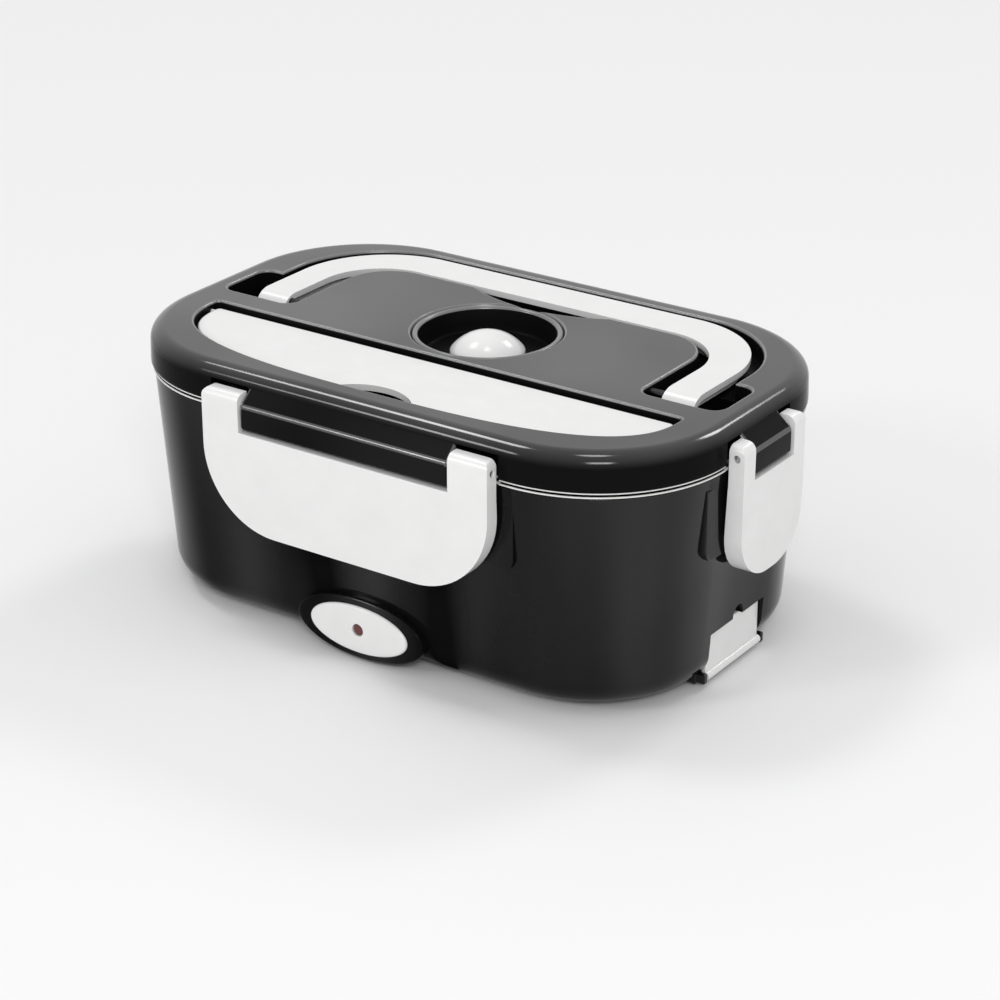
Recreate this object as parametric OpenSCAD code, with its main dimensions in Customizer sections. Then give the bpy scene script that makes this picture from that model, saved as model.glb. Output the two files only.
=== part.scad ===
/* [Overall size] */
// Length of the lid and of the body's top, left to right
lid_len = 223; // [200:0.5:260]
// Width of the lid and of the body's top, front to back
lid_wid = 140; // [125:0.5:165]
// Height from the floor to the top of the lid
total_h = 95; // [85:0.5:120]
// Radius of the lid's corners seen from above
corner_r = 50; // [40:0.5:60]

/* [Body] */
// Thickness of the body's outer wall
wall = 2.4; // [1.8:0.1:3.5]
// Height of the rubber feet
foot_h = 2.4; // [1.5:0.1:5]
// How far the body's rim stands in from the lid's edge
rim_inset = 1.2; // [0.6:0.1:2]
// How far the body stands in just above its rounded bottom
foot_inset = 5.9; // [4:0.1:9]
// Depth from the body's rim to the floor of the liner
liner_depth = 57; // [45:0.5:62]
// Half length of the bottom cover
cover_half_x = 80; // [70:0.5:88]
// Half width of the bottom cover
cover_half_y = 41.7; // [36:0.1:42]
// Distance of the bottom screws from the middle, left and right
screw_x = 66; // [60:0.5:68]
// Distance of the bottom screws from the middle, front and back
screw_y = 30; // [28:0.5:32]

/* [Lid] */
// Height of the lid's side wall and top together
lid_h = 12.9; // [12:0.1:15]
// Height of the white seal between the body and the lid
seal_h = 2; // [1.6:0.1:3]
// Gap between pieces that part when something opens
part_gap = 0.3; // [0.3:0.05:0.6]

/* [Clip latches] */
// How far the face of the long latches stands out from the lid
latch_out_long = 5.5; // [5:0.1:7]
// How far the face of the end latches stands out from the lid
latch_out_end = 6; // [5.5:0.1:7]
// Half width of the front and back latches
latch_half_long = 57.5; // [50:0.5:60]
// Half width of the end latches
latch_half_end = 19.7; // [17:0.1:22]
// Half width of the lid's lug inside the front and back latches
lug_half_long = 41.9; // [35:0.1:45]
// Half width of the lid's lug inside the end latches
lug_half_end = 12.2; // [8:0.1:13]
// Height of the latches from bottom edge to ear top
latch_h = 48.7; // [42:0.1:52]
// Radius of a latch hinge pin
latch_pin_r = 1.25; // [1:0.05:1.5]
// Play between a hinge pin and its hole, on the radius
pin_play = 0.05; // [0.02:0.01:0.1]

/* [Handle] */
// Half width over the handle's legs
handle_half = 90; // [80:0.5:92]
// Width of each handle leg
leg_w = 12.4; // [10:0.1:16]
// How far back the handle reaches
handle_back = 58; // [50:0.1:58.5]
// Thickness of the handle
handle_t = 6; // [4.5:0.1:6.2]
// Radius of a handle hinge pin
handle_pin_r = 1.5; // [1.2:0.05:1.8]

/* [Spoon compartment] */
// Half length of the spoon cover
scover_half = 93.6; // [80:0.1:94]
// Reach of the spoon cover from its hinge side to the front
scover_deep = 34.8; // [28:0.1:35]
// How far the spoon cover is sunk below the lid's top
scover_sunk = 1.9; // [1.5:0.1:4]

/* [Vent well] */
// Radius of the round well
well_r = 26.4; // [20:0.1:28]
// Radius of the domed vent plug
plug_r = 13; // [10:0.1:15]
// How far back from the middle the well sits
well_y = 8; // [5:0.5:10]

/* [Power inlet and indicator] */
// Half width of the dust flap
flap_half = 17; // [14:0.1:17.5]
// Half width of the white indicator plate
badge_half = 20.6; // [15:0.1:22]
// Half height of the white indicator plate
badge_high = 8.8; // [6:0.1:9]

/* [Hidden] */
$fn = 48;
hx = lid_len / 2;
hy = lid_wid / 2;
lid_z0 = total_h - lid_h;
seal_z0 = lid_z0 - seal_h;
rim_z = seal_z0 - part_gap;
ledge_z = rim_z - 2.8;
bottom_z = foot_h;
floor_z = bottom_z + 3.6;
liner_floor_z = rim_z - liner_depth;
plate_t = 1.6;
deck_z = total_h;
groove_z = deck_z - 6.7;
handle_z0 = deck_z - handle_t;
handle_axis_z = handle_z0 + handle_t / 2;
handle_axis_y = -1.6;
nose_y = -6;
pocket_y0 = nose_y - 4;
pocket_y1 = pocket_y0 + 24.4;
leg_in = handle_half - leg_w;
groove_half = handle_half + 4;
groove_back = handle_back + 3;
groove_r = 38;
pocket_x1 = groove_half + 8.1;
deck_half = leg_in - 6.1;
bar_depth = 15.4;
deck_back = handle_back - bar_depth - 1.1;
latch_z1 = total_h - 5.8;
latch_z0 = latch_z1 - latch_h;
latch_axis_z = latch_z1 - 4.2;
web_z1 = latch_z1 - 13.2;
lug_z0 = web_z1 + 1;
keeper_z0 = latch_z1 - 31.9;
hook_z1 = keeper_z0 - part_gap;
pad_in = 1.6;
skirt_deep = 1;
ear_gap = 0.4;
scover_z1 = deck_z - scover_sunk;
scover_t = 2.2;
scover_z0 = scover_z1 - scover_t;
scover_axis_z = scover_z1 - scover_t / 2;
scover_back = -22.4;
scover_axis_y = scover_back - 2;
cover_turn_r = norm([2, scover_t / 2]) + 0.27;
trough_z = lid_z0 + 1.9;
well_z = deck_z - 9;
stem_r = 4;
badge_z = 12.3;
badge_y = -(hy - 2.4);
boss_x = hx - 9.1;
inlet_x = boss_x - 22.2;
flap_axis_x = boss_x + 1.8;
flap_axis_z = 3.6;
flap_z1 = 19.2;
flap_pin_r = 0.8;

// Points of a rounded rectangle, inset from the lid's outline, at one height
function ring_points(inset, z, n = 12) = [
    for (q = [0:3]) for (i = [0:n])
        let (a = q * 90 + i * 90 / n)
        let (r = corner_r - inset)
        let (sx = (q == 0 || q == 3) ? 1 : -1)
        let (sy = q < 2 ? 1 : -1)
        [sx * (hx - corner_r) + r * cos(a), sy * (hy - corner_r) + r * sin(a), z]
];

// Points of an ellipse
function oval_points(a, b, n = 48) = [for (i = [0:n - 1]) [a * cos(i * 360 / n), b * sin(i * 360 / n)]];

// Points of the front half of a rounded D shape whose straight side is at y0
function dee_points(a, b, y0, n = 40) = [
    for (i = [0:n])
        let (t = 180 + i * 180 / n)
        let (cx = cos(t))
        let (sy = sin(t))
        [a * sign(cx) * pow(abs(cx), 0.714), y0 - b * pow(abs(sy), 0.714)]
];

// Solid with rounded rectangles at the given [inset, height] pairs
module loft(rings) {
    n = 52;
    m = len(rings);
    pts = [for (k = [0:m - 1]) each ring_points(rings[k][0], rings[k][1])];
    sides = [
        for (k = [0:m - 2]) for (i = [0:n - 1])
            each [
                [k * n + i, (k + 1) * n + i, (k + 1) * n + (i + 1) % n],
                [k * n + i, (k + 1) * n + (i + 1) % n, k * n + (i + 1) % n]
            ]
    ];
    bottom = [[for (i = [0:n - 1]) i]];
    top = [[for (i = [n - 1:-1:0]) (m - 1) * n + i]];
    polyhedron(points = pts, faces = concat(bottom, top, sides), convexity = 6);
}

// Flat rounded rectangle made of two squares and four circles
module round_rect(ax, ay, r) {
    square([2 * (ax - r), 2 * ay], center = true);
    square([2 * ax, 2 * (ay - r)], center = true);
    for (sx = [-1, 1]) for (sy = [-1, 1])
        translate([sx * (ax - r), sy * (ay - r)])
            circle(r = r);
}

// Plate that follows the lid's outline at an inset
module outline_plate(inset, z0, z1) {
    translate([0, 0, z0])
        linear_extrude(height = z1 - z0)
            round_rect(hx - inset, hy - inset, corner_r - inset);
}

// Ring that follows the lid's outline between two insets
module outline_ring(inset_out, inset_in, z0, z1) {
    difference() {
        outline_plate(inset_out, z0, z1);
        outline_plate(inset_in, z0 - 1, z1 + 1);
    }
}

// Rounded plate centred on the origin
module slab(ax, ay, r, z0, z1) {
    translate([0, 0, z0])
        linear_extrude(height = z1 - z0)
            round_rect(ax, ay, r);
}

// Box between two corners
module box(x0, x1, y0, y1, z0, z1) {
    translate([x0, y0, z0])
        cube([x1 - x0, y1 - y0, z1 - z0]);
}

// Round bar along X between two ends
module bar_x(r, x0, x1, y, z) {
    translate([x0, y, z])
        rotate([0, 90, 0])
            cylinder(r = r, h = x1 - x0);
}

// Round bar along Y between two ends
module bar_y(r, y0, y1, x, z) {
    translate([x, y1, z])
        rotate([90, 0, 0])
            cylinder(r = r, h = y1 - y0);
}

// Places a latch part, drawn facing the front, on one of the four sides
module on_side(side) {
    if (side == "front") children();
    if (side == "back") rotate([0, 0, 180]) children();
    if (side == "right") rotate([0, 0, 90]) children();
    if (side == "left") rotate([0, 0, -90]) children();
}

// Keeper pad and rib on the body behind one latch, drawn facing the front
module keeper(half, edge, hook_half, pad_side) {
    box(-half - pad_side, half + pad_side, -edge + pad_in, -edge + 5, latch_z0 + 10, rim_z - 4);
    box(-hook_half, hook_half, -edge - 1.1, -edge + 5, keeper_z0, keeper_z0 + 2.6);
}

module outer_shell() {
    color([0.02, 0.02, 0.022])
    difference() {
        union() {
            loft([[16, bottom_z], [12.6, bottom_z + 0.8], [9.8, bottom_z + 2.6], [7.4, bottom_z + 5.6],
                [foot_inset, bottom_z + 10.1], [rim_inset, rim_z]]);
            translate([0, badge_y, badge_z])
                rotate([90, 0, 0])
                    translate([0, 0, -14])
                        linear_extrude(height = 14)
                            polygon(oval_points(26, 11.2));
            box(hx - 24, boss_x, -20, 20, 1.2, 21);
            for (sy = [-1, 1])
                box(boss_x - 2, boss_x + 3, sy * 18.4 - 1.05, sy * 18.4 + 1.05, 1.9, 5.3);
            on_side("front") keeper(latch_half_long, hy, 30, 5);
            on_side("back") keeper(latch_half_long, hy, 30, 5);
            on_side("right") keeper(latch_half_end, hx, 8, 9);
            on_side("left") keeper(latch_half_end, hx, 8, 9);
        }
        difference() {
            loft([[foot_inset + wall + 4, floor_z], [foot_inset + wall + 1.2, floor_z + 3],
                [foot_inset + wall, floor_z + 8], [rim_inset + wall + 1.5, ledge_z + 1]]);
            for (sx = [-1, 1]) for (sy = [-1, 1])
                translate([sx * screw_x, sy * screw_y, floor_z - 1])
                    cylinder(r = 3.6, h = 7);
        }
        outline_plate(rim_inset + 1.6, ledge_z, rim_z + 5);
        slab(cover_half_x, cover_half_y + 0.3, 25, bottom_z - 1, bottom_z + 1.8);
        slab(cover_half_x - 16, cover_half_y - 11.7, 20, bottom_z, floor_z + 1);
        for (sx = [-1, 1]) for (sy = [-1, 1])
            translate([sx * screw_x, sy * screw_y, bottom_z])
                cylinder(r = 1.4, h = 8.6);
        translate([0, badge_y + 1.2, badge_z])
            rotate([90, 0, 0])
                linear_extrude(height = 3)
                    polygon(oval_points(badge_half, badge_high));
        bar_y(4, badge_y - 1, badge_y + 12, 0, badge_z);
        box(inlet_x, boss_x + 1, -14, 14, 3.8, 18);
        box(boss_x, hx, -flap_half - 0.35, flap_half + 0.35, 0, flap_z1 + 0.4);
        for (sy = [-1, 1])
            bar_y(flap_pin_r, sy * 18.4 - 3, sy * 18.4 + 3, flap_axis_x, flap_axis_z);
        bar_x(3.2, boss_x - 1.2, boss_x + 5, 0, flap_z1 + 1.4);
    }
}

module inner_liner() {
    color([0.74, 0.75, 0.76])
    difference() {
        union() {
            outline_plate(rim_inset + 1.6, ledge_z, ledge_z + 1.6);
            outline_plate(8.8, liner_floor_z, ledge_z + 1.6);
        }
        outline_plate(10, liner_floor_z + 1.2, rim_z + 5);
    }
}

module heater_plate() {
    color([0.78, 0.79, 0.8])
    slab(64, 38, 20, liner_floor_z - plate_t, liner_floor_z);
}

module ptc_heater() {
    color([0.85, 0.84, 0.8])
    box(-31, 31, -12, 12, liner_floor_z - plate_t - 5, liner_floor_z - plate_t);
}

module clamp_bar() {
    z1 = liner_floor_z - plate_t;
    color([0.7, 0.7, 0.72])
    difference() {
        union() {
            box(-48, 48, -6, 6, z1 - 6.5, z1 - 5);
            for (sx = [-1, 1])
                translate([sx * 43, 0, z1 - 5.5])
                    cylinder(r = 3.4, h = 5.5);
        }
        for (sx = [-1, 1])
            translate([sx * 43, 0, z1 - 7])
                cylinder(r = 1.5, h = 5);
    }
}

module thermostat() {
    z1 = liner_floor_z - plate_t;
    color([0.12, 0.12, 0.12])
    translate([0, 24, z1])
        mirror([0, 0, 1]) {
            cylinder(r = 8, h = 4.2);
            translate([0, 0, 4.2])
                cylinder(r = 6.6, h = 2.4);
            translate([-9.5, -1.6, 4.6])
                cube([19, 3.2, 0.8]);
        }
}

module thermal_fuse() {
    color([0.8, 0.78, 0.7])
    difference() {
        bar_x(2.2, -11, 11, -24, liner_floor_z - plate_t - 2);
        box(-12, 12, -30, -18, liner_floor_z - plate_t, liner_floor_z);
    }
}

module heater_leads() {
    z = liner_floor_z - plate_t - 2.4;
    color([0.75, 0.08, 0.06])
    union() {
        bar_x(1.1, 31, 66, 5, z);
        translate([66, 5, z])
            sphere(r = 1.1);
        bar_y(1.1, 5, 9, 66, z);
        translate([66, 9, z])
            sphere(r = 1.1);
        bar_x(1.1, 66, 77, 9, z);
        translate([77, 9, z])
            sphere(r = 1.1);
        translate([77, 9, 14])
            cylinder(r = 1.1, h = z - 14);
        translate([77, 9, 14])
            sphere(r = 1.1);
        bar_x(1.1, 77, inlet_x, 9, 14);
    }
}

module bottom_cover() {
    color([0.03, 0.03, 0.032])
    difference() {
        slab(cover_half_x - 0.3, cover_half_y, 24.7, bottom_z, bottom_z + 1.8);
        for (sx = [-1, 1]) for (sy = [-1, 1])
            translate([sx * screw_x, sy * screw_y, bottom_z - 1]) {
                cylinder(r = 3.2, h = 2);
                cylinder(r = 1.6, h = 5);
            }
        for (i = [-3:3])
            translate([i * 9, 0, bottom_z - 1]) {
                translate([-1, -12, 0])
                    cube([2, 24, 4]);
            }
    }
}

module bottom_screws() {
    color([0.6, 0.6, 0.62])
    for (sx = [-1, 1]) for (sy = [-1, 1])
        translate([sx * screw_x, sy * screw_y, bottom_z])
            difference() {
                union() {
                    translate([0, 0, -0.2])
                        cylinder(r = 2.9, h = 1.2);
                    cylinder(r = 1.4, h = 8);
                }
                for (a = [0, 90])
                    rotate([0, 0, a])
                        translate([-1.8, -0.35, -1])
                            cube([3.6, 0.7, 1.5]);
            }
}

module feet() {
    color([0.05, 0.05, 0.05])
    for (sx = [-1, 1]) for (sy = [-1, 1])
        translate([sx * (hx - 53.5), sy * (hy - 22.5), 0]) {
            cylinder(r1 = 4.6, r2 = 5.2, h = 1);
            translate([0, 0, 1])
                cylinder(r = 5.2, h = foot_h - 1);
        }
}

module indicator_plate() {
    color([0.93, 0.93, 0.92])
    difference() {
        union() {
            translate([0, badge_y + 1.2, badge_z])
                rotate([90, 0, 0])
                    linear_extrude(height = 2)
                        polygon(oval_points(badge_half, badge_high));
            bar_y(4, badge_y + 1, badge_y + 8, 0, badge_z);
        }
        bar_y(1.8, badge_y - 2, badge_y + 9, 0, badge_z);
    }
}

module indicator_lens() {
    color([0.75, 0.1, 0.08])
    union() {
        bar_y(1.8, badge_y - 0.4, badge_y + 6, 0, badge_z);
    }
}

module lamp_board() {
    color([0.1, 0.35, 0.16])
    union() {
        box(-8, 8, badge_y + 8, badge_y + 9.4, badge_z - 3, badge_z + 4.5);
        bar_y(1.4, badge_y + 6, badge_y + 8, 0, badge_z);
    }
}

module inlet_housing() {
    color([0.06, 0.06, 0.06])
    difference() {
        box(inlet_x, boss_x - 0.4, -14, 14, 3.8, 18);
        for (sy = [-1, 1])
            bar_x(4.6, boss_x - 15, boss_x + 3, sy * 5, 11);
        box(boss_x - 15, boss_x + 3, -5, 5, 6.4, 15.6);
        for (sy = [-1, 1])
            bar_x(1.2, boss_x - 21, boss_x, sy * 4.3, 11);
    }
}

module inlet_pins() {
    color([0.8, 0.8, 0.82])
    for (sy = [-1, 1])
        bar_x(1.2, boss_x - 21, boss_x - 4, sy * 4.3, 11);
}

module socket_flap() {
    color([0.93, 0.93, 0.92])
    difference() {
        union() {
            translate([boss_x + 0.3, 0, 0])
                rotate([90, 0, 90])
                    linear_extrude(height = 1.6)
                        union() {
                            translate([-flap_half, flap_axis_z])
                                square([2 * flap_half, flap_z1 - 2 - flap_axis_z]);
                            translate([-flap_half + 2, flap_axis_z])
                                square([2 * flap_half - 4, flap_z1 - flap_axis_z]);
                            for (sx = [-1, 1])
                                translate([sx * (flap_half - 2), flap_z1 - 2])
                                    circle(r = 2);
                        }
            bar_y(1.5, -flap_half, flap_half, flap_axis_x, flap_axis_z);
        }
        bar_y(flap_pin_r + pin_play, -30, 30, flap_axis_x, flap_axis_z);
    }
}

module flap_pin() {
    color([0.6, 0.6, 0.62])
    bar_y(flap_pin_r, -19.4, 19.4, flap_axis_x, flap_axis_z);
}

module food_tray() {
    z0 = liner_floor_z + 1.5;
    z1 = ledge_z + 1.6 + part_gap;
    color([0.76, 0.77, 0.78])
    difference() {
        union() {
            outline_plate(5.5, z1, z1 + 0.8);
            outline_plate(10.6, z0, z1 + 0.8);
        }
        outline_plate(11.4, z0 + 0.8, z1 + 5);
    }
}

module small_box() {
    z1 = ledge_z + 1.6;
    z0 = liner_floor_z + 2.6;
    color([0.9, 0.9, 0.89])
    translate([62, 0, 0])
        difference() {
            slab(30, 46, 14, z0, z1 - 1.8);
            slab(28.6, 44.6, 12.6, z0 + 1.4, z1 + 5);
        }
}

module small_box_lid() {
    z1 = ledge_z + 1.6;
    color([0.86, 0.87, 0.88])
    translate([62, 0, 0])
        difference() {
            union() {
                slab(30.9, 46.9, 14.9, z1 - 1.5, z1);
                slab(28.2, 44.2, 12.2, z1 - 3.6, z1 - 1.5);
            }
            slab(26.8, 42.8, 10.8, z1 - 5, z1 - 1.5);
            slab(22, 38, 9, z1 - 0.6, z1 + 1);
        }
}

// Lug on the lid's side that carries one latch, drawn facing the front
module lug(half, edge, out) {
    rotate([90, 0, 90])
        translate([0, 0, -half])
            linear_extrude(height = 2 * half)
                polygon([[-edge - out + 0.6, lug_z0], [-edge - out + 0.6, latch_axis_z + 0.4],
                    [-edge + 2.5, deck_z - 2.6], [-edge + 6, deck_z - 2.6], [-edge + 6, lug_z0 + 5.4],
                    [-edge + 0.2, lug_z0 + 5.4], [-edge + 0.2, lug_z0]]);
}

module lid_shell() {
    color([0.02, 0.02, 0.022])
    difference() {
        union() {
            loft([[0, lid_z0], [0.2, deck_z - 4.5], [0.9, deck_z - 2.5], [2.2, deck_z - 1],
                [4, deck_z - 0.25], [5.8, deck_z]]);
            on_side("front") lug(lug_half_long, hy, latch_out_long);
            on_side("back") lug(lug_half_long, hy, latch_out_long);
            on_side("right") lug(lug_half_end, hx, latch_out_end);
            on_side("left") lug(lug_half_end, hx, latch_out_end);
        }
        lid_hollow();
        handle_groove();
        spoon_recess();
        vent_well();
        latch_room();
    }
}

// Hollow inside the lid, leaving walls around the wells and behind the latches
module lid_hollow() {
    difference() {
        outline_plate(10, lid_z0 - 1, deck_z - 2.2);
        linear_extrude(height = deck_z)
            polygon(dee_points(scover_half + 4.4, scover_deep + 8.2, scover_back + 4.2));
        difference() {
            slab(groove_half + 2.4, groove_back + 2.4, groove_r + 2.4, groove_z - 2.2, deck_z);
            box(-200, 200, -200, pocket_y0 - 3, 0, 200);
            box(-deck_half + 2.4, deck_half - 2.4, -200, deck_back - 9.5, 0, 200);
        }
        for (sx = [-1, 1])
            box(sx * 87.5 - 17.5, sx * 87.5 + 17.5, pocket_y0 - 3, pocket_y1 + 3, groove_z - 6, deck_z);
        translate([0, well_y, 0])
            cylinder(r = well_r + 4, h = deck_z);
    }
}

// Groove the folded handle lies in, with a deeper pocket at each leg's end
module handle_groove() {
    difference() {
        slab(groove_half, groove_back, groove_r, groove_z, deck_z + 1);
        box(-200, 200, -200, pocket_y0, 0, 200);
        difference() {
            slab(deck_half, deck_back, 18, 0, deck_z + 2);
            translate([0, deck_back - 7.4 + 57.9, 0])
                cylinder(r = 57.9, h = deck_z + 5, $fn = 96);
        }
    }
    for (sx = [-1, 1]) {
        translate([sx * (deck_half + pocket_x1) / 2, (pocket_y0 + pocket_y1) / 2, groove_z - 3.2])
            linear_extrude(height = 20)
                round_rect((pocket_x1 - deck_half) / 2, (pocket_y1 - pocket_y0) / 2, 5);
        translate([sx * (deck_half + 4), 0, 0])
            bar_x(handle_pin_r, -12, 12, handle_axis_y, handle_axis_z);
    }
}

// Recess for the spoon cover and the trough under it
module spoon_recess() {
    translate([0, 0, scover_z0 - part_gap])
        linear_extrude(height = 20)
            polygon(dee_points(scover_half + 1.7, scover_deep + 3.7, scover_back + 1.9));
    translate([0, 0, trough_z])
        linear_extrude(height = 20)
            polygon(dee_points(scover_half - 4.6, scover_deep - 4, scover_back + 0.6));
    bar_x(0.8, -scover_half - 4.5, scover_half + 4.5, scover_axis_y, scover_axis_z);
    bar_x(cover_turn_r, -scover_half - 0.6, scover_half + 0.6, scover_axis_y, scover_axis_z);
}

// Round well with a chamfered rim and the hole for the plug's stem
module vent_well() {
    translate([0, well_y, well_z])
        cylinder(r = well_r - 2, h = 20);
    translate([0, well_y, deck_z - 4])
        cylinder(r1 = well_r - 2, r2 = well_r, h = 3);
    translate([0, well_y, deck_z - 1])
        cylinder(r1 = well_r, r2 = well_r + 1.5, h = 1.01);
    translate([0, well_y, 0])
        cylinder(r = stem_r + pin_play, h = 200);
}

// Room beside the lugs for the ears to turn, and the lug's pin holes
module latch_room() {
    for (side = ["front", "back"])
        on_side(side) {
            latch_turn_room(latch_half_long, lug_half_long, hy, latch_out_long);
            latch_pins(latch_half_long, lug_half_long, hy, latch_out_long);
        }
    for (side = ["right", "left"])
        on_side(side) {
            latch_turn_room(latch_half_end, lug_half_end, hx, latch_out_end);
            latch_pins(latch_half_end, lug_half_end, hx, latch_out_end);
        }
}

// The round room that each ear sweeps when its latch turns
module latch_turn_room(half, lug_half, edge, out) {
    bar_x(6.2, lug_half, half + ear_gap, -edge - out + 2.9, latch_axis_z);
    bar_x(6.2, -half - ear_gap, -lug_half, -edge - out + 2.9, latch_axis_z);
}

module lid_inner() {
    color([0.72, 0.73, 0.74])
    difference() {
        union() {
            outline_plate(7, lid_z0 - 1.4, lid_z0);
            translate([0, well_y, lid_z0 - 2.2])
                cylinder(r = 9, h = 2);
        }
        translate([0, well_y, 0])
            cylinder(r = stem_r + pin_play, h = 200);
    }
}

module seal_ring() {
    color([0.92, 0.92, 0.92])
    difference() {
        outline_ring(0.5, 7, seal_z0, lid_z0);
        outline_ring(-2, 1.3, seal_z0 + 0.8, seal_z0 + 1.2);
        latch_room();
    }
}

module vent_plug() {
    z0 = well_z + part_gap;
    color([0.94, 0.94, 0.93])
    union() {
        intersection() {
            translate([0, well_y, z0 + 5.2 - 18.9])
                sphere(r = 18.9, $fn = 96);
            translate([0, well_y, z0 + 1])
                cylinder(r = plug_r, h = 8);
        }
        translate([0, well_y, z0])
            cylinder(r = plug_r, h = 1.4);
        translate([0, well_y, lid_z0 - 3.2])
            cylinder(r = stem_r, h = z0 - lid_z0 + 3.6);
    }
}

module spoon_cover() {
    color([0.92, 0.92, 0.92])
    difference() {
        union() {
            translate([0, 0, scover_z0])
                linear_extrude(height = scover_t)
                    polygon(dee_points(scover_half, scover_deep, scover_back));
            bar_x(0.75, -scover_half - 4, scover_half + 4, scover_axis_y, scover_axis_z);
        }
        translate([0, scover_back - scover_deep + 7.6 - 19.8, 0])
            cylinder(r = 19.8, h = 200, $fn = 96);
    }
}

module spoon() {
    z = trough_z;
    color([0.8, 0.81, 0.82])
    union() {
        difference() {
            intersection() {
                translate([-58, -34, z + 17])
                    sphere(r = 17);
                translate([-58, -34, z])
                    cylinder(r = 10.5, h = 3.4);
            }
            translate([-58, -34, z + 17])
                sphere(r = 16);
        }
        box(-48.6, 62, -37.5, -30.5, z + 2, z + 3.2);
        translate([62, -34, z + 2])
            cylinder(r = 5.5, h = 1.2);
        translate([62, -34, z])
            cylinder(r = 3, h = 2);
    }
}

module handle() {
    color([0.93, 0.93, 0.92])
    difference() {
        union() {
            difference() {
                slab(handle_half, handle_back, 36, handle_z0, handle_z0 + handle_t);
                box(-200, 200, -200, handle_axis_y, 0, 200);
                slab(leg_in, handle_back - bar_depth, 24, 0, 200);
            }
            for (sx = [-1, 1]) {
                box(min(sx * leg_in, sx * handle_half), max(sx * leg_in, sx * handle_half),
                    nose_y + handle_t / 2, handle_axis_y, handle_z0, handle_z0 + handle_t);
                bar_x(handle_t / 2, min(sx * leg_in, sx * handle_half), max(sx * leg_in, sx * handle_half),
                    nose_y + handle_t / 2, handle_axis_z);
            }
        }
        bar_x(handle_pin_r + pin_play, -handle_half + 3, handle_half - 3, handle_axis_y, handle_axis_z);
    }
}

module handle_pins() {
    color([0.6, 0.6, 0.62])
    for (sx = [-1, 1])
        bar_x(handle_pin_r, min(sx * (deck_half - 7.5), sx * (handle_half - 4)),
            max(sx * (deck_half - 7.5), sx * (handle_half - 4)), handle_axis_y, handle_axis_z);
}

// Outline of a latch face seen from the front, shrunk by an inset
module latch_face(half, r, top, inset) {
    intersection() {
        for (sx = [-1, 1])
            translate([sx * (half - r), latch_z0 + r])
                circle(r = r - inset);
        translate([-half, latch_z0])
            square([2 * half, r]);
    }
    translate([-half + r, latch_z0 + inset])
        square([2 * (half - r), r - inset]);
    translate([-half + inset, latch_z0 + r])
        square([2 * (half - inset), top - latch_z0 - r]);
}

// One latch, drawn facing the front: dished panel, two ears, side walls and a hook
module latch(half, lug_half, edge, out, r, hook_half) {
    face = -edge - out;
    back = -edge - part_gap;
    difference() {
        union() {
            difference() {
                translate([0, back, 0])
                    rotate([90, 0, 0])
                        linear_extrude(height = back - face)
                            difference() {
                                union() {
                                    latch_face(half, r, latch_z1 - 2.5, 0);
                                    translate([-half + 2.5, latch_z1 - 3])
                                        square([2 * half - 5, 3]);
                                    for (sx = [-1, 1])
                                        translate([sx * (half - 2.5), latch_z1 - 2.5])
                                            circle(r = 2.5);
                                }
                                translate([-lug_half - ear_gap, web_z1])
                                    square([2 * (lug_half + ear_gap), 40]);
                            }
                translate([0, back + 1, 0])
                    rotate([90, 0, 0])
                        linear_extrude(height = back - face - 1)
                            latch_face(half, r, web_z1 - 1.8, 1.8);
            }
            translate([0, -edge + skirt_deep, 0])
                rotate([90, 0, 0])
                    linear_extrude(height = skirt_deep + 1)
                        difference() {
                            latch_face(half, r, web_z1 - 1.2, 0);
                            latch_face(half, r, web_z1, 1.8);
                        }
            box(-hook_half, hook_half, face + 1.5, -edge + 0.5, hook_z1 - 2.4, hook_z1);
        }
        bar_x(latch_pin_r + pin_play, -half - 1, half + 1, face + 2.9, latch_axis_z);
    }
}

// The two short hinge pins of one latch, drawn facing the front
module latch_pins(half, lug_half, edge, out) {
    reach = half - lug_half + 5.5;
    for (sx = [-1, 1])
        translate([sx * (half - 0.5 - reach / 2), 0, 0])
            bar_x(latch_pin_r, -reach / 2, reach / 2, -edge - out + 2.9, latch_axis_z);
}

module latch_front() {
    color([0.93, 0.93, 0.92])
    on_side("front") latch(latch_half_long, lug_half_long, hy, latch_out_long, 29, 30);
}

module latch_back() {
    color([0.93, 0.93, 0.92])
    on_side("back") latch(latch_half_long, lug_half_long, hy, latch_out_long, 29, 30);
}

module latch_left() {
    color([0.93, 0.93, 0.92])
    on_side("left") latch(latch_half_end, lug_half_end, hx, latch_out_end, 17.5, 8);
}

module latch_right() {
    color([0.93, 0.93, 0.92])
    on_side("right") latch(latch_half_end, lug_half_end, hx, latch_out_end, 17.5, 8);
}

module pins_front() {
    color([0.6, 0.6, 0.62])
    on_side("front") latch_pins(latch_half_long, lug_half_long, hy, latch_out_long);
}

module pins_back() {
    color([0.6, 0.6, 0.62])
    on_side("back") latch_pins(latch_half_long, lug_half_long, hy, latch_out_long);
}

module pins_left() {
    color([0.6, 0.6, 0.62])
    on_side("left") latch_pins(latch_half_end, lug_half_end, hx, latch_out_end);
}

module pins_right() {
    color([0.6, 0.6, 0.62])
    on_side("right") latch_pins(latch_half_end, lug_half_end, hx, latch_out_end);
}

outer_shell();
inner_liner();
heater_plate();
ptc_heater();
clamp_bar();
thermostat();
thermal_fuse();
heater_leads();
bottom_cover();
bottom_screws();
feet();
indicator_plate();
indicator_lens();
lamp_board();
inlet_housing();
inlet_pins();
socket_flap();
flap_pin();
food_tray();
small_box();
small_box_lid();
lid_shell();
lid_inner();
seal_ring();
vent_plug();
spoon_cover();
spoon();
handle();
handle_pins();
latch_front();
latch_back();
latch_left();
latch_right();
pins_front();
pins_back();
pins_left();
pins_right();
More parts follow.
